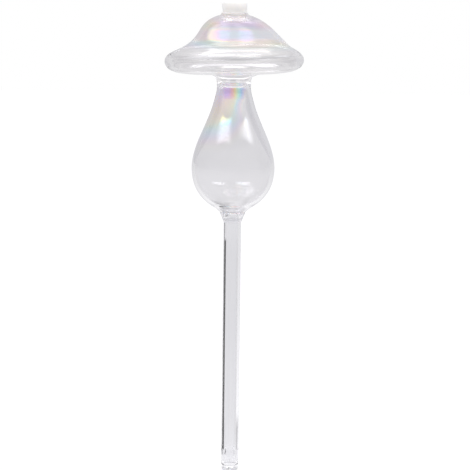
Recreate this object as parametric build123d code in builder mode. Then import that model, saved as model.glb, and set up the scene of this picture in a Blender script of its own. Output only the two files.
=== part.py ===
"""Mushroom watering globe: a blown glass cap and bulb on a glass stem.

Water goes in at the mouth on top of the cap, under a tapered stopper. It runs down
through the cap, the neck, the bulb and the stem, and leaves by the drip tip, which
stands in the soil of a plant pot.

Millimetres, +Z up. The origin is the bottom centre of the drip tip. Every piece is
turned about the Z axis, from an outline drawn in the XZ plane.
"""

from build123d import *
import os

# Stem: a straight glass tube, pushed into the soil
stem_radius = 5.5
stem_wall = 1.5
stem_length = 161.0
stem_outer_polish = 0.8  # rounding of the flame-polished lower end
stem_inner_polish = 0.3

# Drip tip: a thimble with a flange, pushed into the lower end of the stem
tip_flange_radius = 5.3
tip_flange_height = 3.8
tip_seat_radius = 4.6  # the flat of the flange, inside its rounded edge
tip_shank_length = 11.6
tip_shank_wall = 1.3
tip_floor = 3.0  # from the flange up to the bottom of the thimble's well
tip_hole_radius = 0.9
tip_lead_in = 0.4
tip_clearance = 0.05

# Collar: soft swells of glass where the stem is melted on to the bulb
collar_height = 6.6
collar_top_radius = 8.1
collar_bore_length = 2.5  # straight part of the passage
collar_swell_share = 0.09  # how far a swell stands out, as a share of its own length
crease_shares = (0.0, 0.14, 0.53, 1.0)  # heights where the swells meet

# Bulb: an upside-down teardrop
bulb_radius = 26.45
bulb_height = 79.6
bulb_wall = 2.0

# Neck, with the bead of glass that seals the cap to the bulb
neck_radius = 10.6
neck_wall = 2.3
seal_height = 2.0
seal_bead = 0.9  # how far the bead stands into the passage
seal_swell = 0.15  # how far it stands out of the neck

# Cap: a hollow mushroom with a flared brim, heaviest at the rim
cap_radius = 43.65
cap_height = 44.0
cap_wall = 2.2

# Mouth: the filling hole in the top of the cap, with a low rolled lip
mouth_radius = 7.47
mouth_depth = 3.4
lip_width = 1.5
lip_height = 1.1
lip_round = 0.6

# Stopper: a tapered silicone plug
stopper_head_radius = 8.0
stopper_head_height = 7.2
stopper_band = 2.6  # height of the straight band at the top
stopper_plug_length = 4.8
stopper_edge = 0.5
stopper_clearance = 0.05

# Outlines of the blown shells, from the bottom up. A row gives the share of the way
# from the narrow end to the widest radius, the share of the height, and the wall as a
# share of the named wall, or None where the inside needs no point.
bulb_outline_shares = [
    (0.061, 0.014, 1.1),
    (0.143, 0.030, 1.1),
    (0.366, 0.063, 1.0),
    (0.610, 0.111, 1.0),
    (0.813, 0.176, 1.0),
    (0.927, 0.240, 1.0),
    (1.000, 0.337, 1.0),
    (0.962, 0.435, 1.0),
    (0.785, 0.560, 1.0),
    (0.507, 0.688, 1.0),
    (0.243, 0.815, 1.0),
    (0.095, 0.912, 1.0),
    (0.014, 0.972, 1.1),
]
cap_outline_shares = [
    (0.020, 0.048, 1.0),
    (0.074, 0.100, 1.0),
    (0.184, 0.134, 1.0),
    (0.440, 0.150, 1.1),
    (0.695, 0.166, 1.3),
    (0.858, 0.198, 1.5),
    (0.963, 0.255, None),
    (1.000, 0.330, 2.0),
    (0.966, 0.400, None),
    (0.883, 0.459, 1.6),
    (0.733, 0.527, 1.3),
    (0.596, 0.602, 1.0),
    (0.478, 0.698, 1.0),
    (0.356, 0.811, 1.0),
    (0.228, 0.895, 1.0),
    (0.097, 0.950, 1.0),
]

# The pieces stand on each other, from the drip tip up
stem_foot = tip_flange_height
stem_top = stem_foot + stem_length
bulb_foot = stem_top + collar_height
bulb_top = bulb_foot + bulb_height
cap_foot = bulb_top + seal_height
lip_top = cap_foot + cap_height
stopper_top = lip_top + stopper_head_height

# Passages
stem_bore = stem_radius - stem_wall
bulb_foot_bore = collar_top_radius - bulb_wall
neck_bore = neck_radius - neck_wall


def shell_points(outline_shares, foot_radius, top_radius, widest, foot, height, wall):
    """The outside and the inside points of a blown shell.

    An inside point lies one local wall from its outside point, square to the line
    between the two neighbours.
    """
    outside = []
    for radius_share, height_share, wall_share in outline_shares:
        narrow = foot_radius + (top_radius - foot_radius) * height_share
        radius = narrow + (widest - narrow) * radius_share
        outside.append(Vector(radius, foot + height * height_share))
    inside = []
    for before, here, after, row in zip(outside, outside[1:], outside[2:], outline_shares[1:]):
        wall_share = row[2]
        if wall_share is not None:
            along = (after - before).normalized()
            inward = Vector(-along.Y, along.X)
            inside.append(here + inward * wall * wall_share)
    return outside, inside


# Drip tip: the water stands in the thimble's well and leaves by the small hole
shank_radius = stem_bore - tip_clearance
shank_top = tip_flange_height + tip_shank_length
well_radius = shank_radius - tip_shank_wall
well_floor = tip_flange_height + tip_floor
well_round_top = well_floor + well_radius

with BuildPart() as drip_tip:
    with BuildSketch(Plane.XZ):
        with BuildLine():
            Line((tip_hole_radius, 0), (tip_seat_radius, 0))
            ThreePointArc(
                (tip_seat_radius, 0),
                (tip_flange_radius, tip_flange_height / 2),
                (tip_seat_radius, tip_flange_height),
            )
            Line((tip_seat_radius, tip_flange_height), (shank_radius, tip_flange_height))
            Line((shank_radius, tip_flange_height), (shank_radius, shank_top - tip_lead_in))
            Line((shank_radius, shank_top - tip_lead_in), (shank_radius - tip_lead_in, shank_top))
            Line((shank_radius - tip_lead_in, shank_top), (well_radius, shank_top))
            Line((well_radius, shank_top), (well_radius, well_round_top))
            TangentArc(
                (well_radius, well_round_top),
                (tip_hole_radius, well_floor),
                tangent=(0, -1),
            )
            Line((tip_hole_radius, well_floor), (tip_hole_radius, 0))
        make_face()
    revolve(axis=Axis.Z)
drip_tip.part.label = "drip_tip"

# Stem tube: the lower end is flame polished, the upper end is melted to the collar
with BuildPart() as stem_tube:
    with BuildSketch(Plane.XZ):
        with BuildLine():
            Line((stem_bore, stem_foot + stem_inner_polish), (stem_bore, stem_top))
            Line((stem_bore, stem_top), (stem_radius, stem_top))
            Line((stem_radius, stem_top), (stem_radius, stem_foot + stem_outer_polish))
            TangentArc(
                (stem_radius, stem_foot + stem_outer_polish),
                (stem_radius - stem_outer_polish, stem_foot),
                tangent=(0, -1),
            )
            Line(
                (stem_radius - stem_outer_polish, stem_foot),
                (stem_bore + stem_inner_polish, stem_foot),
            )
            TangentArc(
                (stem_bore + stem_inner_polish, stem_foot),
                (stem_bore, stem_foot + stem_inner_polish),
                tangent=(-1, 0),
            )
        make_face()
    revolve(axis=Axis.Z)
stem_tube.part.label = "stem_tube"

# Collar: the swells are arcs between creases on the line from stem to bulb
collar_start = Vector(stem_radius, stem_top)
collar_run = Vector(collar_top_radius, bulb_foot) - collar_start
collar_out = Vector(collar_run.Y, -collar_run.X).normalized()
creases = [collar_start + collar_run * share for share in crease_shares]

with BuildPart() as stem_collar:
    with BuildSketch(Plane.XZ):
        with BuildLine():
            for low, high in zip(creases, creases[1:]):
                swell = (high - low).length * collar_swell_share
                ThreePointArc(low, (low + high) / 2 + collar_out * swell, high)
            Line((collar_top_radius, bulb_foot), (bulb_foot_bore, bulb_foot))
            TangentArc(
                (stem_bore, stem_top + collar_bore_length),
                (bulb_foot_bore, bulb_foot),
                tangent=(0, 1),
            )
            Line((stem_bore, stem_top + collar_bore_length), (stem_bore, stem_top))
            Line((stem_bore, stem_top), (stem_radius, stem_top))
        make_face()
    revolve(axis=Axis.Z)
stem_collar.part.label = "stem_collar"

# Bulb: the teardrop shell
bulb_outside, bulb_inside = shell_points(
    bulb_outline_shares,
    collar_top_radius,
    neck_radius,
    bulb_radius,
    bulb_foot,
    bulb_height,
    bulb_wall,
)

with BuildPart() as teardrop_bulb:
    with BuildSketch(Plane.XZ):
        with BuildLine():
            Spline(
                (collar_top_radius, bulb_foot),
                *bulb_outside,
                (neck_radius, bulb_top),
                tangents=(collar_run, (0, 1)),
                tangent_scalars=(1, 1),
            )
            Line((neck_radius, bulb_top), (neck_bore, bulb_top))
            Spline(
                (bulb_foot_bore, bulb_foot),
                *bulb_inside,
                (neck_bore, bulb_top),
                tangents=(collar_run, (0, 1)),
                tangent_scalars=(1, 1),
            )
            Line((bulb_foot_bore, bulb_foot), (collar_top_radius, bulb_foot))
        make_face()
    revolve(axis=Axis.Z)
teardrop_bulb.part.label = "teardrop_bulb"

# Seal ring: the bead left where the two necks were melted together
seal_middle = bulb_top + seal_height / 2

with BuildPart() as neck_seal_ring:
    with BuildSketch(Plane.XZ):
        with BuildLine():
            ThreePointArc(
                (neck_radius, bulb_top),
                (neck_radius + seal_swell, seal_middle),
                (neck_radius, cap_foot),
            )
            Line((neck_radius, cap_foot), (neck_bore, cap_foot))
            ThreePointArc(
                (neck_bore, cap_foot),
                (neck_bore - seal_bead, seal_middle),
                (neck_bore, bulb_top),
            )
            Line((neck_bore, bulb_top), (neck_radius, bulb_top))
        make_face()
    revolve(axis=Axis.Z)
neck_seal_ring.part.label = "neck_seal_ring"

# Cap: the mouth is reamed to the stopper's taper
stopper_radius = mouth_radius - stopper_clearance
stopper_rise = stopper_head_height - stopper_band
taper = (stopper_head_radius - stopper_radius) / stopper_rise
lip_radius = mouth_radius + lip_width
lip_foot = lip_top - lip_height
mouth_floor = lip_top - mouth_depth
mouth_bore_top = (mouth_radius - taper * lip_round, lip_top - lip_round)
mouth_bore_end = mouth_floor + lip_round
mouth_bore_bottom = (mouth_radius - taper * (lip_top - mouth_bore_end), mouth_bore_end)
cap_outside, cap_inside = shell_points(
    cap_outline_shares,
    neck_radius,
    lip_radius,
    cap_radius,
    cap_foot,
    cap_height,
    cap_wall,
)

with BuildPart() as mushroom_cap:
    with BuildSketch(Plane.XZ):
        with BuildLine():
            Spline(
                (neck_radius, cap_foot),
                *cap_outside,
                (lip_radius, lip_foot),
                tangents=((0, 1), Vector(lip_radius, lip_foot) - cap_outside[-1]),
                tangent_scalars=(1, 1),
            )
            Line((lip_radius, lip_foot), (lip_radius, lip_top - lip_round))
            TangentArc(
                (lip_radius, lip_top - lip_round),
                (lip_radius - lip_round, lip_top),
                tangent=(0, 1),
            )
            Line((lip_radius - lip_round, lip_top), (mouth_radius + lip_round, lip_top))
            TangentArc(
                (mouth_radius + lip_round, lip_top),
                mouth_bore_top,
                tangent=(-1, 0),
            )
            Line(mouth_bore_top, mouth_bore_bottom)
            TangentArc(
                mouth_bore_bottom,
                (mouth_bore_bottom[0] + lip_round, mouth_floor),
                tangent=(0, -1),
            )
            Spline(
                (neck_bore, cap_foot),
                *cap_inside,
                (mouth_bore_bottom[0] + lip_round, mouth_floor),
                tangents=((0, 1), (-1, 0)),
                tangent_scalars=(1, 1),
            )
            Line((neck_bore, cap_foot), (neck_radius, cap_foot))
        make_face()
    revolve(axis=Axis.Z)
mushroom_cap.part.label = "mushroom_cap"

# Stopper: it wedges in the mouth by its taper, and its head stands above the lip
stopper_floor = lip_top - stopper_plug_length
stopper_floor_radius = stopper_radius - taper * stopper_plug_length
stopper_floor_start = (stopper_floor_radius - stopper_edge, stopper_floor)
stopper_taper_start = (stopper_floor_radius + taper * stopper_edge, stopper_floor + stopper_edge)
stopper_band_foot = (stopper_head_radius, stopper_top - stopper_band)

with BuildPart() as stopper:
    with BuildSketch(Plane.XZ):
        with BuildLine():
            Line((0, stopper_floor), stopper_floor_start)
            TangentArc(stopper_floor_start, stopper_taper_start, tangent=(1, 0))
            Line(stopper_taper_start, stopper_band_foot)
            Line(stopper_band_foot, (stopper_head_radius, stopper_top - stopper_edge))
            TangentArc(
                (stopper_head_radius, stopper_top - stopper_edge),
                (stopper_head_radius - stopper_edge, stopper_top),
                tangent=(0, 1),
            )
            Line((stopper_head_radius - stopper_edge, stopper_top), (0, stopper_top))
            Line((0, stopper_top), (0, stopper_floor))
        make_face()
    revolve(axis=Axis.Z)
stopper.part.label = "stopper"

os.makedirs("parts", exist_ok=True)
pieces = (
    drip_tip,
    stem_tube,
    stem_collar,
    teardrop_bulb,
    neck_seal_ring,
    mushroom_cap,
    stopper,
)
for piece in pieces:
    export_step(piece.part, f"parts/{piece.part.label}.step")

print("overall height", round(stopper_top, 2), "overall width", round(cap_radius * 2, 2))
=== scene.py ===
# %% [markdown]
# # A mushroom watering globe in Blender
#
# The real object is lamp-worked glass. A hollow mushroom cap and a teardrop bulb are
# blown apart from each other, melted together at the neck and melted on to a straight
# stem. A silicone plug closes the mouth on top, and a small tip in the stem lets the
# water drip out into the soil.
#
# The parts arrive from CAD with the right sizes. This lesson rebuilds each one as smooth,
# thick-walled glass, because clear glass shows both faces of its wall, and then lights it
# the way a product photographer lights glass.

# %% Load the frame
import math

import bpy
from mathutils import Matrix, Vector


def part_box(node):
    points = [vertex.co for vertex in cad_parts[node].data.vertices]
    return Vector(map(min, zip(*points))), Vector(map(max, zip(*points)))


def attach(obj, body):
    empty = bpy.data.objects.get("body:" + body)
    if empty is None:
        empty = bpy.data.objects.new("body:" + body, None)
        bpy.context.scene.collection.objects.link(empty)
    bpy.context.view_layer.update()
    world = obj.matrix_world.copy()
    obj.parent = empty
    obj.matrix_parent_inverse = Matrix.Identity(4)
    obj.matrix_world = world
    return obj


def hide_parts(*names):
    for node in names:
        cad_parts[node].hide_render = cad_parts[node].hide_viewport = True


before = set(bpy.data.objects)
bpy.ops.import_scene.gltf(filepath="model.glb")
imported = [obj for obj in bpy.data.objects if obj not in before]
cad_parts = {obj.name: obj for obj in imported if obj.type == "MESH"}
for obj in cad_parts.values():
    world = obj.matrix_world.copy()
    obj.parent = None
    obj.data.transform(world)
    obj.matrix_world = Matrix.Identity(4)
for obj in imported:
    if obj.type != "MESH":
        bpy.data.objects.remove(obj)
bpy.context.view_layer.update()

scene = bpy.context.scene
print("nodes:", sorted(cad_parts))

# %% [markdown]
# Every size starts from the box of a CAD node: its foot, its top and its widest radius.
# The sizes could be typed in again, but then the scene and the CAD would drift apart the
# first time one of them changed. What a box can't say, such as the thickness of a wall,
# is a named value in metres.

# %% Measure the nodes
MM = 0.001


def measure(node):
    """The foot, the top and the widest radius of a CAD node."""
    low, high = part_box(node)
    return low.z, high.z, (high.x - low.x) / 2


def width_in_mm(piece):
    """How wide a finished round piece is, for the print-out."""
    return round(2 * max(vertex.co.x for vertex in piece.data.vertices) / MM, 1)


TIP_FOOT, TIP_TOP, TIP_RADIUS = measure("drip_tip")
STEM_FOOT, STEM_TOP, STEM_RADIUS = measure("stem_tube")
COLLAR_FOOT, COLLAR_TOP, COLLAR_RADIUS = measure("stem_collar")
BULB_FOOT, BULB_TOP, BULB_RADIUS = measure("teardrop_bulb")
SEAL_FOOT, SEAL_TOP, SEAL_RADIUS = measure("neck_seal_ring")
CAP_FOOT, LIP_TOP, CAP_RADIUS = measure("mushroom_cap")
PLUG_FOOT, PLUG_TOP, PLUG_RADIUS = measure("stopper")
print("height", round(PLUG_TOP / MM, 1), "mm, cap", round(2 * CAP_RADIUS / MM, 1), "mm wide")

# %% Name the walls
STEM_WALL = 1.5 * MM
BULB_WALL = 2.0 * MM
NECK_WALL = 2.3 * MM
CAP_WALL = 2.2 * MM
NECK_RADIUS = 10.6 * MM
MOUTH_RADIUS = 7.47 * MM
STEM_BORE = STEM_RADIUS - STEM_WALL
NECK_BORE = NECK_RADIUS - NECK_WALL
COLLAR_BORE = COLLAR_RADIUS - BULB_WALL
print("bores in mm:", [round(bore / MM, 2) for bore in (STEM_BORE, COLLAR_BORE, NECK_BORE)])

# %% [markdown]
# The camera comes before the shapes, because it decides how much detail each piece needs.
# The photograph looks slightly down, about nine degrees, from under a metre away. A
# camera could be pushed about until it looks right. Here it is worked out from what can
# be measured in the photograph: the height on the object that sits in the middle of the
# frame, and how many pixels one metre takes there.

# %% Place the camera
FRAME_PIXELS = 470
PIXELS_PER_METRE = 1562.5
CAMERA_DISTANCE = 0.9
CAMERA_ELEVATION = math.radians(9.3)
CAMERA_ROLL = math.radians(0.67)
AIM_HEIGHT = 0.1564
AIM_RIGHT = 0.00176
SENSOR = 36.0
NEAREST_SEEN = 0.01

aim = Vector((AIM_RIGHT, 0, AIM_HEIGHT))
back = Vector((0, -math.cos(CAMERA_ELEVATION), math.sin(CAMERA_ELEVATION)))
camera_data = bpy.data.cameras.new("camera")
camera_data.sensor_width = SENSOR
camera_data.lens = SENSOR * PIXELS_PER_METRE * CAMERA_DISTANCE / FRAME_PIXELS
camera_data.clip_start = NEAREST_SEEN
camera = bpy.data.objects.new("camera", camera_data)
scene.collection.objects.link(camera)
camera.rotation_mode = "QUATERNION"
camera.location = aim + back * CAMERA_DISTANCE
camera.rotation_quaternion = (
    (-back).to_track_quat("-Z", "Y") @ Matrix.Rotation(CAMERA_ROLL, 3, "Z").to_quaternion()
)
scene.camera = camera
print("lens", round(camera_data.lens, 1), "mm at", round(camera.location.z, 3), "m high")

# %% [markdown]
# Every piece of this object is round, so every piece is turned: half of its section is
# drawn as a curve, made a mesh and spun about the Z axis. A mesh typed in point by point
# would need hundreds of points. A Bezier curve with automatic handles needs about ten,
# and gives an outline as smooth as blown glass. A point marked as a corner keeps a sharp
# edge, as where two pieces meet.
#
# For a piece with a wall, the outline is a closed loop that runs up the outside and down
# the inside, so the spun piece has a real wall and no open edge. Automatic handles can
# leave a faint ripple where the spacing of the points changes, so the long outlines are
# relaxed a few times before they are spun. In clear glass a ripple too small to feel
# still shows.

# %% A helper that turns an outline into a piece
TURN_STEPS = 192
SMALL_TURN_STEPS = 96
MERGE_DISTANCE = 0.002 * MM
SMOOTH_ANGLE = math.radians(40)
RELAX_FACTOR = 0.5
CORNER = "corner"


def draw_outline(name, outline, detail, closed):
    """Draws (radius, height) points as a curve in the XZ plane and makes it a mesh."""
    bpy.ops.object.select_all(action="DESELECT")
    bpy.ops.curve.primitive_bezier_curve_add(location=(0, 0, 0))
    curve = bpy.context.object.data
    curve.resolution_u = detail
    spline = curve.splines[0]
    spline.bezier_points.add(len(outline) - len(spline.bezier_points))
    spline.use_cyclic_u = closed
    for point, (radius, height, *kind) in zip(spline.bezier_points, outline):
        point.co = (radius, 0, height)
        point.handle_left_type = point.handle_right_type = "VECTOR" if kind else "AUTO"
    bpy.ops.object.convert(target="MESH")
    piece = bpy.context.object
    piece.name = piece.data.name = name
    return piece


def turn(name, outline, detail, closed=True, steps=TURN_STEPS, relax=0):
    """Spins an outline about Z into a closed, smooth piece."""
    piece = draw_outline(name, outline, detail, closed)
    corners = [Vector((radius, 0, height)) for radius, height, *kind in outline if kind]
    for vertex in piece.data.vertices:
        vertex.select = all((vertex.co - corner).length > MERGE_DISTANCE for corner in corners)
    bpy.ops.object.mode_set(mode="EDIT")
    if relax:
        bpy.ops.mesh.vertices_smooth(factor=RELAX_FACTOR, repeat=relax)
    bpy.ops.mesh.select_all(action="SELECT")
    bpy.ops.mesh.spin(steps=steps, angle=2 * math.pi, center=(0, 0, 0), axis=(0, 0, 1))
    bpy.ops.mesh.select_all(action="SELECT")
    bpy.ops.mesh.remove_doubles(threshold=MERGE_DISTANCE)
    bpy.ops.mesh.normals_make_consistent(inside=False)
    bpy.ops.object.mode_set(mode="OBJECT")
    bpy.ops.object.shade_smooth_by_angle(angle=SMOOTH_ANGLE)
    print(name, "has", len(piece.data.polygons), "faces")
    return piece


def stand_for(piece, node, body):
    """Puts a finished piece in the place of its CAD node."""
    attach(piece, body)
    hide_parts(node)


# %% [markdown]
# A blown shell is thin where the bubble stretched and heavy where the glass gathered, as
# at the brim of the cap. A Solidify modifier would give one thickness everywhere. So the
# outline is a short table instead: how far out, how high, and how thick the wall is
# there, each as a share of the whole. One helper turns the table into the two faces of
# the wall. A row with no wall is a point on the outside alone, for a bend that the inside
# takes more gently.

# %% A helper for blown shells
def shell_faces(rows, foot_radius, top_radius, widest, foot, top, wall):
    """The outside and the inside points of a blown shell, from the bottom up."""
    outside = []
    for radius_share, height_share, _ in rows:
        narrow = foot_radius + (top_radius - foot_radius) * height_share
        radius = narrow + (widest - narrow) * radius_share
        outside.append(Vector((radius, foot + (top - foot) * height_share)))
    inside = []
    for before, here, after, row in zip(outside, outside[1:], outside[2:], rows[1:]):
        wall_share = row[-1]
        if wall_share is not None:
            along = (after - before).normalized()
            inside.append(here + Vector((-along.y, along.x)) * wall * wall_share)
    return outside, inside


# %% [markdown]
# ## The bulb
#
# On the real object this is the water tank: a bubble of glass blown on the end of a tube
# and left to hang, which draws it into an upside-down teardrop. It could be a sphere
# pulled up with proportional editing, but a turned outline follows the photograph's edge
# directly. The rows below give the radius, the height and the wall as shares. Close to
# its two seams the outline runs almost straight, so that the pieces meet without a kink.
# A hair's breadth is left open at each seam, because two glass faces in exactly the same
# place confuse the ray tracer.

# %% Turn the bulb
SEAM_GAP = 0.01 * MM

bulb_shares = [
    (0.061, 0.014, 1.1),
    (0.143, 0.030, 1.1),
    (0.366, 0.063, 1.0),
    (0.610, 0.111, 1.0),
    (0.813, 0.176, 1.0),
    (0.927, 0.240, 1.0),
    (1.000, 0.337, 1.0),
    (0.962, 0.435, 1.0),
    (0.785, 0.560, 1.0),
    (0.507, 0.688, 1.0),
    (0.243, 0.815, 1.0),
    (0.095, 0.912, 1.0),
    (0.014, 0.972, 1.1),
]
outside, inside = shell_faces(
    bulb_shares, COLLAR_RADIUS, NECK_RADIUS, BULB_RADIUS, BULB_FOOT, BULB_TOP, BULB_WALL
)
bulb_outline = [
    (COLLAR_RADIUS, BULB_FOOT + SEAM_GAP, CORNER),
    *outside,
    (NECK_RADIUS, BULB_TOP - SEAM_GAP, CORNER),
    (NECK_BORE, BULB_TOP - SEAM_GAP, CORNER),
    *reversed(inside),
    (COLLAR_BORE, BULB_FOOT + SEAM_GAP, CORNER),
]
bulb = turn("blown_bulb", bulb_outline, 6, relax=12)
stand_for(bulb, "teardrop_bulb", "globe")
print("bulb is", width_in_mm(bulb), "mm wide")

# %% [markdown]
# ## The cap
#
# The mushroom cap is blown too, then its rim is heated and spun until it flares out and
# thickens, and its top is opened with a reamer for the plug. The outline starts at the
# neck, runs out under the cap, round the heavy brim, up the hollow flank and over the
# crown, and rolls over the lip into the mouth. The mouth narrows downwards, as a reamer
# leaves it. The same outline could be built from a disc and a dome joined together, but
# then the brim would show a seam that the real one doesn't have.

# %% List the cap's outline
LIP_RADIUS = 8.5 * MM
LIP_FOOT = LIP_TOP - 1.1 * MM
MOUTH_FOOT = LIP_TOP - 3.4 * MM

cap_shares = [
    (0.020, 0.048, 1.0),
    (0.074, 0.100, 1.0),
    (0.184, 0.133, 1.0),
    (0.440, 0.146, 1.1),
    (0.695, 0.157, 1.3),
    (0.862, 0.189, 1.5),
    (0.967, 0.248, None),
    (1.000, 0.330, 2.0),
    (0.964, 0.398, None),
    (0.872, 0.455, 1.5),
    (0.705, 0.523, 1.05),
    (0.580, 0.602, 1.0),
    (0.467, 0.698, 1.0),
    (0.348, 0.811, 1.0),
    (0.221, 0.895, 1.0),
    (0.085, 0.950, 1.0),
]
outside, inside = shell_faces(
    cap_shares, NECK_RADIUS, LIP_RADIUS, CAP_RADIUS, CAP_FOOT, LIP_TOP, CAP_WALL
)
print(len(outside), "points outside and", len(inside), "inside")

# %% Turn the cap
cap_outline = [
    (NECK_RADIUS, CAP_FOOT + SEAM_GAP, CORNER),
    *outside,
    (LIP_RADIUS, LIP_FOOT + 0.1 * MM),
    (LIP_RADIUS, LIP_TOP - 0.5 * MM),
    (LIP_RADIUS - 0.5 * MM, LIP_TOP),
    (MOUTH_RADIUS + 0.5 * MM, LIP_TOP),
    (MOUTH_RADIUS - 0.05 * MM, LIP_TOP - 0.6 * MM),
    (MOUTH_RADIUS - 0.35 * MM, MOUTH_FOOT + 0.6 * MM),
    (MOUTH_RADIUS + 0.2 * MM, MOUTH_FOOT),
    *reversed(inside),
    (NECK_BORE, CAP_FOOT + SEAM_GAP, CORNER),
]
cap = turn("blown_cap", cap_outline, 10, relax=3)
stand_for(cap, "mushroom_cap", "globe")
print("cap is", width_in_mm(cap), "mm wide")

# %% [markdown]
# No hand-blown cap is quite even. In the photograph the brim tips up a little on the
# right, and the flank stands a little further out there. Moving points by hand would
# dent the glass. Instead each point gets a weight that fades in softly, and a Displace
# modifier moves the points by their weights: one pushes the flank to the right, and two
# tip the brim.

# %% Weigh the cap's points
LEAN = math.radians(1.1)
BRIM_RISE = CAP_RADIUS * math.sin(LEAN)
FLANK_SHIFT = 2.0 * MM
FLANK_FOOT = CAP_FOOT + 17.5 * MM
FLANK_MIDDLE = CAP_FOOT + 27.5 * MM
FLANK_TOP = CAP_FOOT + 42.0 * MM
LEAN_RADIUS = 12.0 * MM
LEAN_FULL_RADIUS = 30.0 * MM


def soft_step(value, start, stop):
    """0 before the start, 1 after the stop and a soft S between them."""
    share = min(max((value - start) / (stop - start), 0.0), 1.0)
    return share * share * (3 - 2 * share)


def flank_weight(spot):
    """Full half-way up the flank, nothing at the brim and at the crown."""
    rising = soft_step(spot.z, FLANK_FOOT, FLANK_MIDDLE)
    return rising * soft_step(spot.z, FLANK_TOP, FLANK_MIDDLE)


def right_weight(spot):
    """Grows to the right, and is nothing near the neck and the mouth."""
    out = soft_step(math.hypot(spot.x, spot.y), LEAN_RADIUS, LEAN_FULL_RADIUS)
    return max(spot.x, 0) / CAP_RADIUS * out


def left_weight(spot):
    """Grows to the left, as the other one does to the right."""
    return right_weight(Vector((-spot.x, spot.y, spot.z)))


def weigh(piece, name, weight):
    """Adds a vertex group with the weight of each point."""
    group = piece.vertex_groups.new(name=name)
    for vertex in piece.data.vertices:
        share = weight(vertex.co)
        if share > 0:
            group.add([vertex.index], share, "REPLACE")


weigh(cap, "flank", flank_weight)
weigh(cap, "right", right_weight)
weigh(cap, "left", left_weight)
print("weighed:", [group.name for group in cap.vertex_groups])


# %% Lean the cap
def push(piece, group, axis, distance):
    """Moves a weighted group of points along one axis with an applied modifier."""
    modifier = piece.modifiers.new(group, "DISPLACE")
    modifier.vertex_group = group
    modifier.direction = axis
    modifier.mid_level = 0.0
    modifier.strength = distance
    bpy.ops.object.modifier_apply(modifier=modifier.name)


bpy.ops.object.select_all(action="DESELECT")
cap.select_set(True)
bpy.context.view_layer.objects.active = cap
push(cap, "right", "Z", BRIM_RISE)
push(cap, "left", "Z", -BRIM_RISE)
push(cap, "flank", "X", FLANK_SHIFT)
cap.vertex_groups.clear()
print("brim tips by", round(BRIM_RISE / MM, 2), "mm on each side")

# %% [markdown]
# ## The melted joints
#
# Where two tubes are melted together, the soft glass gathers into a bead on both sides
# of the wall. The seal joins the bulb's neck to the cap's. The collar joins the stem to
# the bulb, and was worked longer, so it has a narrow waist and soft creases. Both could
# be left out and the shells joined straight, but the bright and dark rings that a bead
# makes are what tells blown glass from moulded plastic.

# %% Turn the seal ring
SEAL_INNER_BEAD = 0.5 * MM
seal_middle = (SEAL_FOOT + SEAL_TOP) / 2
seal_outline = [
    (NECK_RADIUS, SEAL_FOOT, CORNER),
    (SEAL_RADIUS, seal_middle),
    (NECK_RADIUS, SEAL_TOP, CORNER),
    (NECK_BORE, SEAL_TOP, CORNER),
    (NECK_BORE - SEAL_INNER_BEAD, seal_middle),
    (NECK_BORE, SEAL_FOOT, CORNER),
]
seal = turn("seal_bead", seal_outline, 8)
stand_for(seal, "neck_seal_ring", "globe")

# %% Turn the collar
collar_outline = [
    (STEM_RADIUS, COLLAR_FOOT + SEAM_GAP, CORNER),
    (STEM_RADIUS + 0.35 * MM, COLLAR_FOOT + 0.5 * MM),
    (STEM_RADIUS + 0.36 * MM, COLLAR_FOOT + 0.95 * MM),
    (STEM_RADIUS + 1.05 * MM, COLLAR_FOOT + 2.2 * MM),
    (STEM_RADIUS + 1.38 * MM, COLLAR_FOOT + 3.5 * MM),
    (STEM_RADIUS + 2.2 * MM, COLLAR_FOOT + 5.0 * MM),
    (COLLAR_RADIUS, COLLAR_TOP - SEAM_GAP, CORNER),
    (COLLAR_BORE, COLLAR_TOP - SEAM_GAP, CORNER),
    (STEM_BORE + 0.6 * MM, COLLAR_FOOT + 4.6 * MM),
    (STEM_BORE, COLLAR_FOOT + 2.5 * MM),
    (STEM_BORE, COLLAR_FOOT + 1.5 * MM),
    (STEM_BORE, COLLAR_FOOT + SEAM_GAP, CORNER),
]
collar = turn("collar_bead", collar_outline, 6)
stand_for(collar, "stem_collar", "globe")

# %% [markdown]
# ## The stem and its tip
#
# The stem is drawn glass tube, cut to length, with the cut end held in a flame until its
# edge runs round. That rounded end is why it isn't a plain cylinder with a hole. The tip
# is a thimble that sits in the end of the tube: a thin wall, a floor with a drip hole,
# and a small flange that stops against the glass.

# %% Turn the stem
stem_outline = [
    (STEM_BORE + 0.3 * MM, STEM_FOOT),
    (STEM_RADIUS - 0.8 * MM, STEM_FOOT),
    (STEM_RADIUS - 0.2 * MM, STEM_FOOT + 0.25 * MM),
    (STEM_RADIUS, STEM_FOOT + 0.8 * MM),
    (STEM_RADIUS, STEM_FOOT + 1.4 * MM),
    (STEM_RADIUS, STEM_TOP - SEAM_GAP, CORNER),
    (STEM_BORE, STEM_TOP - SEAM_GAP, CORNER),
    (STEM_BORE, STEM_FOOT + 0.9 * MM),
    (STEM_BORE, STEM_FOOT + 0.3 * MM),
]
stem = turn("glass_stem", stem_outline, 6)
stand_for(stem, "stem_tube", "globe")

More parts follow.
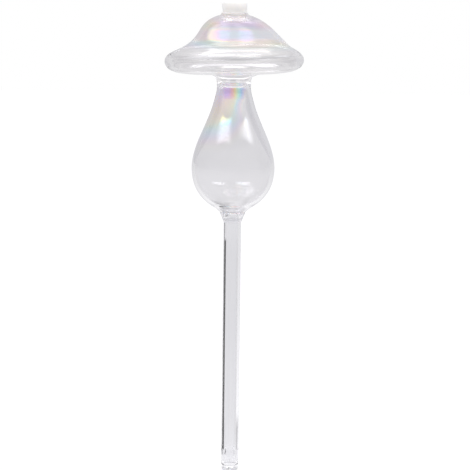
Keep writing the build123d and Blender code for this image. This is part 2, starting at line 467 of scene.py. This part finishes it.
# %% Turn the drip tip
SHANK_RADIUS = STEM_BORE - 0.05 * MM
WELL_RADIUS = SHANK_RADIUS - 1.3 * MM
HOLE_RADIUS = 0.9 * MM
FLANGE_TOP = STEM_FOOT - 0.02 * MM
WELL_FLOOR = STEM_FOOT + 3.0 * MM
tip_outline = [
    (HOLE_RADIUS, TIP_FOOT, CORNER),
    (TIP_RADIUS - 1.2 * MM, TIP_FOOT + 0.16 * MM),
    (TIP_RADIUS - 0.35 * MM, TIP_FOOT + 0.4 * MM),
    (TIP_RADIUS, TIP_FOOT + 1.3 * MM),
    (TIP_RADIUS - 0.05 * MM, TIP_FOOT + 2.2 * MM),
    (TIP_RADIUS - 0.7 * MM, FLANGE_TOP - 0.3 * MM),
    (SHANK_RADIUS + 0.4 * MM, FLANGE_TOP),
    (SHANK_RADIUS, FLANGE_TOP, CORNER),
    (SHANK_RADIUS, TIP_TOP - 0.6 * MM),
    (SHANK_RADIUS - 0.4 * MM, TIP_TOP),
    (WELL_RADIUS + 0.3 * MM, TIP_TOP),
    (WELL_RADIUS, TIP_TOP - 0.5 * MM),
    (WELL_RADIUS, WELL_FLOOR + WELL_RADIUS),
    (0.7 * WELL_RADIUS, WELL_FLOOR + 0.6 * MM),
    (HOLE_RADIUS, WELL_FLOOR, CORNER),
]
tip = turn("drip_thimble", tip_outline, 6, steps=SMALL_TURN_STEPS)
stand_for(tip, "drip_tip", "globe")

# %% [markdown]
# ## The stopper
#
# The plug is a solid piece of moulded silicone. It tapers, so that it wedges in the
# mouth, and its rims are rounded as a mould leaves them. A cone with bevelled rims would
# come close, but the head runs straight up near its top. The plug is solid, so its
# outline starts and ends on the axis, and the curve stays open.

# %% Turn the stopper
plug_outline = [
    (0, PLUG_FOOT, CORNER),
    (6.2 * MM, PLUG_FOOT),
    (6.75 * MM, PLUG_FOOT + 0.12 * MM),
    (6.95 * MM, PLUG_FOOT + 0.6 * MM),
    (7.36 * MM, LIP_TOP - 0.5 * MM),
    (7.95 * MM, PLUG_TOP - 2.9 * MM),
    (PLUG_RADIUS, PLUG_TOP - 2.2 * MM),
    (PLUG_RADIUS, PLUG_TOP - 0.6 * MM),
    (PLUG_RADIUS - 0.15 * MM, PLUG_TOP - 0.15 * MM),
    (PLUG_RADIUS - 0.6 * MM, PLUG_TOP - 0.04 * MM),
    (PLUG_RADIUS - 1.5 * MM, PLUG_TOP, CORNER),
    (0, PLUG_TOP, CORNER),
]
plug = turn("silicone_plug", plug_outline, 6, closed=False, steps=SMALL_TURN_STEPS)
stand_for(plug, "stopper", "stopper")

# %% [markdown]
# ## Finishes
#
# Each finish is a node tree, and a few small helpers keep the trees short. One adds a
# Math node, one turns a range of values into another with soft ends, one blends two
# values, and one draws a whole curve through a list of points. A curve node would do the
# last job too, but its points can't be read at a glance in code.

# %% Helpers for materials
def new_material(name):
    """Adds a material and returns it with its node tree and its main shader."""
    material = bpy.data.materials.new(name)
    material.use_nodes = True
    shader = material.node_tree.nodes["Principled BSDF"]
    return material, material.node_tree, shader


def dress(piece, material):
    """Gives a piece one material."""
    piece.data.materials.clear()
    piece.data.materials.append(material)
    print(piece.name, "wears", material.name)


def feed(tree, socket, value):
    """Puts a number into a socket, or links another socket to it."""
    if isinstance(value, bpy.types.NodeSocket):
        tree.links.new(value, socket)
    else:
        socket.default_value = value


def math_node(tree, operation, *values):
    """Adds a Math node and returns its output."""
    node = tree.nodes.new("ShaderNodeMath")
    node.operation = operation
    for socket, value in zip(node.inputs, values):
        feed(tree, socket, value)
    return node.outputs["Value"]


def product(tree, *values):
    """Multiplies any number of values."""
    total = values[0]
    for value in values[1:]:
        total = math_node(tree, "MULTIPLY", total, value)
    return total


# %% Helpers for ranges and curves
def soft_range(tree, value, start, stop, low=0.0, high=1.0):
    """Turns a value between start and stop into one between low and high, softly."""
    node = tree.nodes.new("ShaderNodeMapRange")
    node.interpolation_type = "SMOOTHSTEP"
    for socket, number in zip(node.inputs, (value, start, stop, low, high)):
        feed(tree, socket, number)
    return node.outputs["Result"]


def blend(tree, share, low, high):
    """Blends two values; a share of 0 gives the first, and 1 gives the second."""
    node = tree.nodes.new("ShaderNodeMapRange")
    for socket, number in zip(node.inputs, (share, 0.0, 1.0, low, high)):
        feed(tree, socket, number)
    return node.outputs["Result"]


def steps(tree, value, points):
    """A curve through (place, level) points, made of straight runs added up."""
    total = points[0][1]
    for (start, low), (stop, high) in zip(points, points[1:]):
        node = tree.nodes.new("ShaderNodeMapRange")
        for socket, number in zip(node.inputs, (value, start, stop, 0.0, high - low)):
            feed(tree, socket, number)
        total = math_node(tree, "ADD", total, node.outputs["Result"])
    return total


def coordinates(tree, kind):
    """The X, Y and Z of a texture coordinate, and the coordinate itself."""
    place = tree.nodes.new("ShaderNodeTexCoord")
    split = tree.nodes.new("ShaderNodeSeparateXYZ")
    tree.links.new(place.outputs[kind], split.inputs["Vector"])
    return (*split.outputs, place.outputs[kind])


# %% [markdown]
# No real surface is one flat colour. Drawn glass has faint streaks along the tube, where
# the melt wasn't quite even, and silicone is a little cloudy. Both come from one noise
# texture on Object coordinates. For streaks, the noise is squeezed across the tube and
# stretched along it. A painted texture could hold the same streaks, but it would need an
# unwrapped surface and a file.

# %% A helper for faint streaks and clouds
NOISE_DETAIL = 2.0


def noise(tree, across, along):
    """Noise with so many cells to a metre across Z, and so many along it."""
    *_, place = coordinates(tree, "Object")
    mapping = tree.nodes.new("ShaderNodeMapping")
    mapping.inputs["Scale"].default_value = (across, across, along)
    tree.links.new(place, mapping.inputs["Vector"])
    texture = tree.nodes.new("ShaderNodeTexNoise")
    texture.inputs["Scale"].default_value = 1.0
    texture.inputs["Detail"].default_value = NOISE_DETAIL
    tree.links.new(mapping.outputs["Vector"], texture.inputs["Vector"])
    return texture.outputs["Fac"]


NOISE_LOW, NOISE_HIGH = 0.3, 0.7


def vary(tree, shader, share, low, high):
    """Lets the base colour wander between two colours."""
    ramp = tree.nodes.new("ShaderNodeValToRGB")
    first, last = ramp.color_ramp.elements
    first.position, first.color = NOISE_LOW, (*low, 1)
    last.position, last.color = NOISE_HIGH, (*high, 1)
    tree.links.new(share, ramp.inputs["Fac"])
    tree.links.new(ramp.outputs["Color"], shader.inputs["Base Color"])


def vary_roughness(tree, shader, share, low, high):
    """Lets the roughness wander in the same way."""
    roughness = soft_range(tree, share, NOISE_LOW, NOISE_HIGH, low, high)
    tree.links.new(roughness, shader.inputs["Roughness"])


# %% [markdown]
# The stem, the collar and the seal are plain borosilicate glass, fire polished, so their
# roughness is nothing and their index of refraction is 1.47. The base colour takes a
# little light at each face, which stands for the grey that a thick wall shows at its
# edge. A Glass shader would look the same, but an exported model keeps the values of a
# Principled one.

# %% Clear glass
GLASS_IOR = 1.47
STREAKS_ACROSS, STREAKS_ALONG = 900, 14
clear_glass, tree, shader = new_material("clear_glass")
shader.inputs["Roughness"].default_value = 0.0
shader.inputs["IOR"].default_value = GLASS_IOR
shader.inputs["Transmission Weight"].default_value = 1.0
streaks = noise(tree, STREAKS_ACROSS, STREAKS_ALONG)
vary(tree, shader, streaks, (0.958, 0.958, 0.970), (0.982, 0.982, 0.990))
for piece in (seal, collar, stem):
    dress(piece, clear_glass)

# %% [markdown]
# The tip is hard to see in the photograph: only a paler U and a thin line at its rims.
# With the index of the other glass its edges would be nearly black, because light can't
# get out of a thick, narrow piece. A low index of refraction and a touch of roughness
# give the faint look.

# %% Clear tip
TIP_IOR = 1.2
TIP_CLOUDS = 700
clear_tip, tree, shader = new_material("clear_tip")
shader.inputs["IOR"].default_value = TIP_IOR
shader.inputs["Transmission Weight"].default_value = 1.0
cloud = noise(tree, TIP_CLOUDS, TIP_CLOUDS)
vary_roughness(tree, shader, cloud, 0.03, 0.08)
vary(tree, shader, cloud, (0.960, 0.960, 0.965), (0.980, 0.980, 0.980))
dress(tip, clear_tip)

# %% [markdown]
# ## The pearly lustre
#
# The cap and the top of the bulb carry a lustre: the hot glass was fumed with a metal
# vapour, which left a film a few hundred nanometres thick. Light that bounces off the
# film's two faces adds up or cancels by colour, so every thickness has a colour of its
# own, in the order that Newton wrote down: straw, orange, violet, blue, green, yellow,
# orange and so on.
#
# Blender's shader has a thin film of its own, which tints what the glass reflects. What
# passes through is tinted too, with the film's own order of colours, so the base colour
# follows the same thickness through a ramp. The film is only on the outside, so each
# point is marked with the face it belongs to.

# %% Mark the outer faces
OUTER_FACE = "outer_face"


def mark_outside(piece, foot, top):
    """Writes 1 on the outer face of a wall and 0 on the inner one."""
    middle = Vector((0, 0, foot + (top - foot) / 3))
    marks = piece.data.attributes.new(OUTER_FACE, "FLOAT", "POINT")
    for vertex, mark in zip(piece.data.vertices, marks.data):
        mark.value = float(vertex.normal.dot(vertex.co - middle) > 0)
    share = sum(mark.value for mark in marks.data) / len(marks.data)
    print(piece.name, "is", round(100 * share), "% outer face")


mark_outside(cap, CAP_FOOT, LIP_TOP)
mark_outside(bulb, BULB_FOOT, BULB_TOP)

# %% Newton's colours
NEWTON = [
    (0, (0.975, 0.972, 0.980)),
    (87, (0.975, 0.965, 0.958)),
    (122, (0.970, 0.930, 0.975)),
    (145, (0.920, 0.940, 0.995)),
    (168, (0.895, 0.970, 0.995)),
    (191, (0.915, 0.985, 0.940)),
    (215, (0.985, 0.970, 0.890)),
    (238, (0.995, 0.930, 0.880)),
    (261, (0.990, 0.905, 0.915)),
    (285, (0.960, 0.905, 0.985)),
    (308, (0.935, 0.950, 0.995)),
    (325, (0.925, 0.980, 0.975)),
    (340, (0.950, 0.985, 0.940)),
]
THICKEST_FILM = NEWTON[-1][0]
print(len(NEWTON), "colours up to", THICKEST_FILM, "nm")


def newton_ramp(tree, thickness):
    """The colour that light takes on in a film of a thickness in nm.

    A film thicker than the last one in the list keeps its colour.
    """
    ramp = tree.nodes.new("ShaderNodeValToRGB")
    band = ramp.color_ramp
    while len(band.elements) < len(NEWTON):
        band.elements.new(1.0)
    for element, (place, colour) in zip(band.elements, NEWTON):
        element.position = place / THICKEST_FILM
        element.color = (*colour, 1)
    tree.links.new(math_node(tree, "DIVIDE", thickness, THICKEST_FILM), ramp.inputs["Fac"])
    return ramp.outputs["Color"]


# %% [markdown]
# One function builds both lustres. Each piece hands it three functions of its own: how
# thick the film is, how strongly it reflects, and how deep its colours are. The strength
# goes in through the film's index of refraction, because a film with the index of the
# glass reflects nothing. Changing the thickness for that would change the colour too. A
# film is never quite even, so its thickness wavers by a few nanometres.

# %% A finish with a lustre
FILM_IOR = 1.95
WAVER = 12.0
WAVER_ACROSS, WAVER_ALONG = 300, 60


def pearly(name, thickness, strength, depth):
    """Glass with a thin film whose thickness in nm is worked out by a function."""
    material, tree, shader = new_material(name)
    shader.inputs["Roughness"].default_value = 0.0
    shader.inputs["IOR"].default_value = GLASS_IOR
    shader.inputs["Transmission Weight"].default_value = 1.0
    marks = tree.nodes.new("ShaderNodeAttribute")
    marks.attribute_name = OUTER_FACE
    uneven = math_node(tree, "SUBTRACT", noise(tree, WAVER_ACROSS, WAVER_ALONG), 0.5)
    layer = math_node(tree, "MULTIPLY_ADD", uneven, WAVER, thickness(tree))
    film_ior = blend(tree, strength(tree), GLASS_IOR, FILM_IOR)
    feed(tree, shader.inputs["Thin Film IOR"], film_ior)
    feed(tree, shader.inputs["Thin Film Thickness"], product(tree, layer, marks.outputs["Fac"]))
    gamma = tree.nodes.new("ShaderNodeGamma")
    feed(tree, gamma.inputs["Color"], newton_ramp(tree, layer))
    feed(tree, gamma.inputs["Gamma"], depth(tree))
    feed(tree, shader.inputs["Base Color"], gamma.outputs["Color"])
    return material


def place_above(tree, foot):
    """How far right of the axis and how far above a level a point is, in mm."""
    x, _, z, _ = coordinates(tree, "Object")
    level = math_node(tree, "DIVIDE", math_node(tree, "SUBTRACT", z, foot), MM)
    return math_node(tree, "DIVIDE", x, MM), level


# %% [markdown]
# On the cap, the film is thin and silvery over the brim, jumps to green and orange where
# the flank starts, is blue in the middle of the dome and violet towards the crown. To
# the left it thins out, which turns the bands of colour downwards there. The bands could
# be painted on, but a list of levels and two slopes is easier to set against the
# photograph. All levels are in mm above the cap's foot, and all thicknesses are in nm.
# Between 26 and 35 mm up, right of a line just left of the axis, the colours are also
# made paler, towards white, where the skylight's two highlights fall on the dome: that
# paler patch is a painted highlight.

# %% The cap's lustre
# How far the colour pales under the dome's highlights: a painted highlight.
HIGHLIGHT_PALING = 0.6


def cap_film(tree):
    across, level = place_above(tree, CAP_FOOT)
    base = steps(tree, level, [
        (17, 60), (18.5, 88), (21, 88), (21.8, 195), (23, 212), (24, 232), (25.6, 243),
        (26.4, 252), (27.3, 334), (28.5, 350), (32.5, 350), (35, 302), (36.5, 285),
        (40, 283), (42, 262), (43, 235),
    ])
    low_slope = steps(tree, across, [
        (-27, -85), (-20, -60), (-14, -40), (-8, -22),
        (-2, -4), (6, 5), (17, 3), (27, -22),
    ])
    high_slope = steps(tree, across, [
        (-30, -105), (-22, -90), (-16, -78), (-12, -50),
        (-8, 0), (12, 0), (16, -20), (27, -45),
    ])
    slope = blend(tree, soft_range(tree, level, 25, 29), low_slope, high_slope)
    reach = steps(tree, level, [(20.5, 0), (22.5, 1), (36, 1), (41, 0.5)])
    return math_node(tree, "MULTIPLY_ADD", slope, reach, base)


def cap_strength(tree):
    _, level = place_above(tree, CAP_FOOT)
    return steps(tree, level, [
        (17.8, 0), (18.6, 1), (21.1, 1), (21.9, 0.1), (25.5, 0.1),
        (27, 0.6), (33, 0.6), (35.5, 0.1), (42, 0),
    ])


def cap_depth(tree):
    across, level = place_above(tree, CAP_FOOT)
    deep = steps(tree, level, [
        (22, 0.8), (23.5, 1.25), (25.8, 1.25), (27, 1.0),
        (33, 1.0), (35, 1.5), (39, 1.8), (41.5, 0.4),
    ])
    # The paler patch is a painted highlight: it whitens the film's colour where the skylight's
    # highlights fall on the dome.
    pale = steps(tree, level, [(25.8, 0), (27.3, 1), (33, 1), (35.5, 0)])
    pale = product(tree, pale, soft_range(tree, across, -17, -9))
    return math_node(tree, "MULTIPLY_ADD", pale, -HIGHLIGHT_PALING, deep)


dress(cap, pearly("pearly_cap", cap_film, cap_strength, cap_depth))


# %% [markdown]
# On the bulb the bands run aslant, from the upper right to the lower left, because the
# vapour met the neck from one side. The film fades out half-way down. Right under the
# seal, the thick glass shows one patch of much deeper colour, violet on the left and blue
# on the right. The patch could be a material of its own, but then its edges would be
# hard, and one function can blend the two. The levels are in mm above the bulb's foot.

# %% The bulb's lustre
PATCH_DEPTH = 2.7


def bulb_patch(tree):
    """1 in the patch under the seal and 0 elsewhere."""
    across, level = place_above(tree, BULB_FOOT)
    near = soft_range(tree, math_node(tree, "ABSOLUTE", across), 7.2, 5.5)
    return product(tree, soft_range(tree, level, 71.8, 73.4), near)


def bulb_film(tree):
    across, level = place_above(tree, BULB_FOOT)
    slope = steps(tree, across, [
        (-26, -4), (-14.6, -1.2), (-8.3, 0), (-5, 4), (-0.5, 11), (4, 22), (10, 40), (26, 80),
    ])
    slant = steps(tree, level, [
        (46.6, 0.35), (53.6, 0.37), (58.6, 0.5), (63.6, 0.75), (68.6, 1.0),
    ])
    phase = math_node(tree, "SUBTRACT", level, product(tree, slope, slant))
    stripes = steps(tree, phase, [
        (39.1, 0), (42.1, 70), (45.6, 115), (48.3, 138), (50.9, 155),
        (53.6, 178), (56.1, 205), (58.6, 220), (61.3, 230), (63.9, 238),
        (66.6, 243), (69.1, 255), (71.6, 272), (78.6, 300),
    ])
    patch = steps(tree, across, [
        (-6.5, 290), (-3, 283), (-1.5, 262), (-0.3, 248), (0.8, 222),
        (2.0, 200), (3.3, 185), (4.5, 160), (5.5, 145),
    ])
    return blend(tree, bulb_patch(tree), stripes, patch)


def bulb_strength(tree):
    _, level = place_above(tree, BULB_FOOT)
    return soft_range(tree, level, 53.1, 61.1)


def bulb_depth(tree):
    return blend(tree, bulb_patch(tree), 1.0, PATCH_DEPTH)


dress(bulb, pearly("pearly_bulb", bulb_film, bulb_strength, bulb_depth))

# %% [markdown]
# The plug is milky silicone: light goes in a few millimetres and comes out again, so its
# edges look soft. A plain white surface would look like chalk, so subsurface scattering
# does the job. A slight cloudiness in the colour and in the roughness keeps it from
# looking like paint.
#
# The real plug also carries light down from its head into the mouth. Blender's lamps
# can't shine through the glass around it, so a faint glow on the part inside the mouth
# stands for that light.

# %% Silicone
SCATTER_DEPTH = 6 * MM
PLUG_CLOUDS = 450
PLUG_GLOW = 0.22
GLOW_FULL = LIP_TOP - 0.5 * MM
GLOW_END = LIP_TOP + 2 * MM
silicone, tree, shader = new_material("milky_silicone")
shader.inputs["Subsurface Weight"].default_value = 1.0
shader.inputs["Subsurface Scale"].default_value = SCATTER_DEPTH
shader.inputs["Subsurface Radius"].default_value = (1.0, 0.95, 0.9)
cloud = noise(tree, PLUG_CLOUDS, PLUG_CLOUDS)
vary_roughness(tree, shader, cloud, 0.38, 0.52)
vary(tree, shader, cloud, (0.83, 0.82, 0.80), (0.87, 0.86, 0.84))
_, _, z, _ = coordinates(tree, "Object")
glow = soft_range(tree, z, GLOW_END, GLOW_FULL, 0.0, PLUG_GLOW)
tree.links.new(glow, shader.inputs["Emission Strength"])
shader.inputs["Emission Color"].default_value = (1, 0.98, 0.95, 1)
dress(plug, silicone)

# %% [markdown]
# ## The studio
#
# Clear glass has no look of its own: it shows what is behind it and what stands around
# it. A photographer lights the white paper behind the glass, and shapes the glass with
# panels whose mirror images run along its edges.
#
# Both jobs are done here with the Light Path node, which knows how a ray came. A ray
# straight from the camera sees pure white paper. A ray that was only bent by the glass
# sees the paper a little darker, and a ray that was mirrored sees panels. Real panels
# could stand around the object instead, but each would also show through the glass.

# %% A helper that lights by the path of the ray
def bounced(tree):
    """1 for a ray that was mirrored on its way, and 0 for one that was only bent."""
    path = tree.nodes.new("ShaderNodeLightPath")
    return math_node(tree, "MINIMUM", path.outputs["Glossy Depth"], 1.0)


def camera_white(tree, through, mirrored):
    """White for the camera, one level through glass and another in a reflection."""
    path = tree.nodes.new("ShaderNodeLightPath")
    studio = blend(tree, bounced(tree), through, mirrored)
    return blend(tree, path.outputs["Is Camera Ray"], studio, 1.0)


# %% [markdown]
# The floor is a sheet of pale paper, a hair below the tip so that the two don't touch. A
# curved backdrop could stand behind too, but the room is as white as the paper, so the
# paper's end doesn't show. Seen in a mirror image, the paper is brighter near the foot
# and darker far away, which gives the stem and the lower half of the bulb their soft
# shading.

# %% Floor
PAPER_SIZE = 8
PAPER_LEVEL = -0.05 * MM
PAPER_GREY = (0.05, 0.05, 0.05, 1)
PAPER_TINT = (0.985, 0.98, 1, 1)

bpy.ops.object.select_all(action="DESELECT")
bpy.ops.mesh.primitive_plane_add(size=PAPER_SIZE, location=(0, 0, PAPER_LEVEL))
floor = bpy.context.object
floor.name = "floor"

paper, tree, shader = new_material("white_paper")
shader.inputs["Base Color"].default_value = PAPER_GREY
shader.inputs["Roughness"].default_value = 1.0
shader.inputs["Specular IOR Level"].default_value = 0.0
x, y, _, place = coordinates(tree, "Object")
length = tree.nodes.new("ShaderNodeVectorMath")
length.operation = "LENGTH"
tree.links.new(place, length.inputs[0])
away = length.outputs["Value"]
through = steps(tree, away, [
    (0.0, 0.95), (0.02, 0.9), (0.06, 0.78), (0.12, 0.73), (0.41, 0.685), (0.8, 0.68),
    (1.0, 0.72), (1.35, 0.745), (1.6, 0.72), (1.8, 0.69), (2.1, 0.67),
])
print("paper drawn out to", floor.dimensions.x / 2, "m")

# %% Light the floor
front = steps(tree, away, [(0.0, 0.9), (0.15, 0.9), (0.3, 0.88), (0.5, 0.8), (1.0, 0.82)])
rear = steps(tree, away, [
    (0.0, 1.0), (0.08, 1.0), (0.2, 0.9), (0.5, 0.78), (1.0, 0.72), (2.0, 0.68),
])
middle = soft_range(tree, math_node(tree, "ABSOLUTE", x), 0.035, 0.015, 0.5, 1.0)
middle = blend(tree, soft_range(tree, away, 0.09, 0.14), middle, 1.0)
rear = product(tree, rear, middle)
mirrored = blend(tree, soft_range(tree, y, -0.05, 0.05), front, rear)
tree.links.new(camera_white(tree, through, mirrored), shader.inputs["Emission Strength"])
shader.inputs["Emission Color"].default_value = PAPER_TINT
dress(floor, paper)

# %% [markdown]
# The stem in the photograph has one dark line along its left edge, such as a black card
# draws when a photographer stands it beside glass. A line painted on the stem would stay
# in one place when the camera moves, which no reflection does. The cards here are dark
# only for a mirrored ray, and clear for every other one, so they draw the line and hide
# nothing. The wide one stops lower, so that the foot of the bulb doesn't mirror it.

# %% Black card material
CARD_GREY = 0.09
black = bpy.data.materials.new("black_card")
black.use_nodes = True
tree = black.node_tree
tree.nodes.clear()
output = tree.nodes.new("ShaderNodeOutputMaterial")
clear = tree.nodes.new("ShaderNodeBsdfTransparent")
dark = tree.nodes.new("ShaderNodeEmission")
dark.inputs["Strength"].default_value = CARD_GREY
mix = tree.nodes.new("ShaderNodeMixShader")
tree.links.new(bounced(tree), mix.inputs["Fac"])
tree.links.new(clear.outputs[0], mix.inputs[1])
tree.links.new(dark.outputs[0], mix.inputs[2])
tree.links.new(mix.outputs[0], output.inputs["Surface"])
print("card nodes:", len(tree.nodes))

# %% Black cards
CARD_BEHIND = 12 * MM
CARD_FOOT = 6 * MM
NARROW_LEFT = -12.25 * MM
NARROW_RIGHT = -STEM_RADIUS - 0.25 * MM
WIDE_LEFT = -34 * MM
for name, left, right, top in (
    ("black_card", NARROW_LEFT, NARROW_RIGHT, 162.5 * MM),
    ("wide_card", WIDE_LEFT, NARROW_LEFT, 150 * MM),
):
    bpy.ops.object.select_all(action="DESELECT")
    bpy.ops.mesh.primitive_plane_add(size=1, location=(0, 0, 0))
    card = bpy.context.object
    card.name = name
    card.scale = (right - left, top - CARD_FOOT, 1)
    card.rotation_euler = (math.radians(90), 0, 0)
    card.location = ((left + right) / 2, CARD_BEHIND, (CARD_FOOT + top) / 2)
    bpy.ops.object.transform_apply(location=True, rotation=True, scale=True)
    card.visible_camera = False
    card.visible_diffuse = False
    card.visible_shadow = False
    dress(card, black)

# %% [markdown]
# The rest of the studio is painted on the world, by direction. First comes the plain
# part: what shows through the glass, and how bright the room is in front of the object
# and behind it. An image of a real studio could stand here, but it would bring windows
# and lamps that the photograph doesn't show. High up in front the room is darker, which
# keeps the shoulder of the bulb grey beside its highlights.

# %% The room
world = bpy.data.worlds.new("studio")
scene.world = world
world.use_nodes = True
tree = world.node_tree
tree.nodes.clear()
output = tree.nodes.new("ShaderNodeOutputWorld")
background = tree.nodes.new("ShaderNodeBackground")
x, y, z, _ = coordinates(tree, "Generated")
through = steps(tree, z, [
    (-0.1, 0.665), (-0.052, 0.66), (-0.04, 0.60), (0.1, 0.60), (0.4, 0.80), (0.6, 1.0),
])
rightness = soft_range(tree, x, -0.5, 0.5)
front = steps(tree, z, [
    (-0.2, 0.9), (0.2, 0.92), (0.4, 0.97), (0.5, 0.82), (0.6, 0.46),
    (0.7, 0.26), (0.76, 0.18), (0.82, 0.25), (0.9, 0.75), (0.95, 0.95),
])
front = product(tree, front, blend(tree, rightness, 0.85, 1.0))
rear = steps(tree, z, [(-0.2, 0.72), (0.2, 0.78), (0.45, 0.85), (0.6, 0.92), (0.9, 1.15)])
rear = product(tree, rear, blend(tree, rightness, 0.85, 0.95))
mirrored = blend(tree, soft_range(tree, y, -0.35, 0.0), front, rear)
print("the plain room takes", len(tree.nodes), "nodes")

# %% [markdown]
# Then come the bright panels. Each is a patch on a level ceiling one metre up: `across`
# is how far right it is and `ahead` how far behind the object. A patch with soft edges is
# a product of soft ranges. The photograph shows two tall lobes on the shoulder of the
# bulb, mirror images of two softboxes in front, so that window has a gap in its middle.
# Its near and far edges are slanted lines, because a round bulb bends a straight edge.

# %% Where a direction meets the ceiling
FLATTEST = 0.05
up = math_node(tree, "MAXIMUM", z, FLATTEST)
across = math_node(tree, "DIVIDE", x, up)
side = math_node(tree, "ABSOLUTE", across)
ahead = math_node(tree, "DIVIDE", y, up)


def add_panel(panel, power):
    """Adds a bright patch to what a mirrored ray sees."""
    return math_node(tree, "MULTIPLY_ADD", panel, power, mirrored)


# %% The front window
WINDOW_POWER = 4.6
WINDOW_MIDDLE = 0.13
NEAR_SLOPE, FAR_SLOPE = 0.38, 0.45
FAR_START = -1.0

near_start = soft_range(tree, across, -0.3, 0.3, -1.36, -1.23)
near_line = math_node(tree, "MULTIPLY_ADD", side, NEAR_SLOPE, near_start)
near_edge = math_node(tree, "SUBTRACT", ahead, near_line)
far_line = math_node(tree, "MULTIPLY_ADD", side, FAR_SLOPE, FAR_START)
far_edge = math_node(tree, "SUBTRACT", ahead, far_line)
lobe = math_node(tree, "ABSOLUTE", math_node(tree, "SUBTRACT", across, WINDOW_MIDDLE))
window = product(
    tree,
    soft_range(tree, near_edge, -0.08, 0.16),
    soft_range(tree, far_edge, 0.25, -0.1),
    soft_range(tree, lobe, 0.15, 0.75),
    soft_range(tree, lobe, 1.75, 1.1),
)
mirrored = add_panel(window, WINDOW_POWER)
print("front window at", WINDOW_POWER, "times white")

# %% [markdown]
# The dome of the cap mirrors what hangs right above it. A skylight with a faint bar in
# its middle makes the two pale highlights there. A faint glow further forward lifts the
# waist of the bulb, and a panel behind draws the white lens along the brim.

# %% The skylight
SKYLIGHT_POWER = 1.9
BAR_LEFT = 0.1
SKYLIGHT_SLOPE = 0.4

offset = math_node(tree, "ABSOLUTE", math_node(tree, "ADD", across, BAR_LEFT))
edge = math_node(tree, "MULTIPLY_ADD", across, SKYLIGHT_SLOPE, ahead)
skylight = product(
    tree,
    soft_range(tree, offset, 0.05, 0.25, 0.45, 1.0),
    soft_range(tree, across, 0.68, 0.35),
    soft_range(tree, across, -1.4, -0.95),
    soft_range(tree, edge, 0.36, 0.06),
    soft_range(tree, ahead, -0.55, -0.2),
)
mirrored = add_panel(skylight, SKYLIGHT_POWER)
print("skylight at", SKYLIGHT_POWER, "times white")

# %% The glow and the rear panel
GLOW_POWER = 0.15
PANEL_POWER = 1.6
PANEL_TAPER = 0.25

glow = product(
    tree,
    soft_range(tree, ahead, -1.1, -1.35),
    soft_range(tree, ahead, -2.6, -2.1),
    soft_range(tree, across, 1.7, 1.2),
    soft_range(tree, across, -2.8, -2.2),
)
mirrored = add_panel(glow, GLOW_POWER)

reach = math_node(tree, "MULTIPLY_ADD", ahead, PANEL_TAPER, side)
panel = product(
    tree,
    soft_range(tree, reach, 0.6, 0.48),
    soft_range(tree, ahead, 0.6, 0.8),
    soft_range(tree, ahead, 1.15, 0.95),
    soft_range(tree, side, 0.0, 0.12, 0.5, 1.0),
)
mirrored = add_panel(panel, PANEL_POWER)
print("glow at", GLOW_POWER, "and rear panel at", PANEL_POWER, "times white")

# %% [markdown]
# The room is very slightly cool, as the greys in the photograph are, but the paper that
# the camera sees straight on stays pure white. So the tint is chosen by the same
# question: did this ray come straight from the camera?

# %% Switch the room on
ROOM_TINT = (0.965, 0.96, 1, 1)
path = tree.nodes.new("ShaderNodeLightPath")
tint = tree.nodes.new("ShaderNodeValToRGB")
tint.color_ramp.elements[0].color = ROOM_TINT
tint.color_ramp.elements[1].color = (1, 1, 1, 1)
tree.links.new(path.outputs["Is Camera Ray"], tint.inputs["Fac"])
tree.links.new(tint.outputs["Color"], background.inputs["Color"])
tree.links.new(camera_white(tree, through, mirrored), background.inputs["Strength"])
tree.links.new(background.outputs[0], output.inputs["Surface"])
print("world nodes:", len(tree.nodes))

# %% [markdown]
# Two softboxes light what isn't clear, which is the plug. Glass would show them as sharp
# squares, so they are hidden from mirrored and bent rays.

# %% Softboxes
SOFTBOX_POWER = 9.5
SOFTBOX_SIZE = (1.0, 1.4)
SOFTBOX_PLACE = (0.7, -0.4, 1.2)


def lamp(name, side):
    """A softbox above the object; a side of -1 is left and 1 is right."""
    right, behind, high = SOFTBOX_PLACE
    data = bpy.data.lights.new(name, "AREA")
    data.shape = "RECTANGLE"
    data.size, data.size_y = SOFTBOX_SIZE
    data.energy = SOFTBOX_POWER
    light = bpy.data.objects.new(name, data)
    light.location = (side * right, behind, high)
    light.visible_camera = False
    light.visible_glossy = False
    light.visible_transmission = False
    scene.collection.objects.link(light)
    print(name, "at", [round(value, 2) for value in light.location])


lamp("left_softbox", -1)
lamp("right_softbox", 1)

# %% [markdown]
# A ray through this object crosses eight glass faces or more, and is mirrored inside the
# brim many times. With too few bounces it is cut off and leaves a black spot, so the
# limits are high. The Standard view keeps white paper white.

# %% Bounces and colour
MOST_BOUNCES = 48
scene.cycles.max_bounces = MOST_BOUNCES
scene.cycles.transmission_bounces = MOST_BOUNCES
scene.cycles.glossy_bounces = MOST_BOUNCES
scene.view_settings.view_transform = "Standard"
print("most bounces:", MOST_BOUNCES, "view:", scene.view_settings.view_transform)
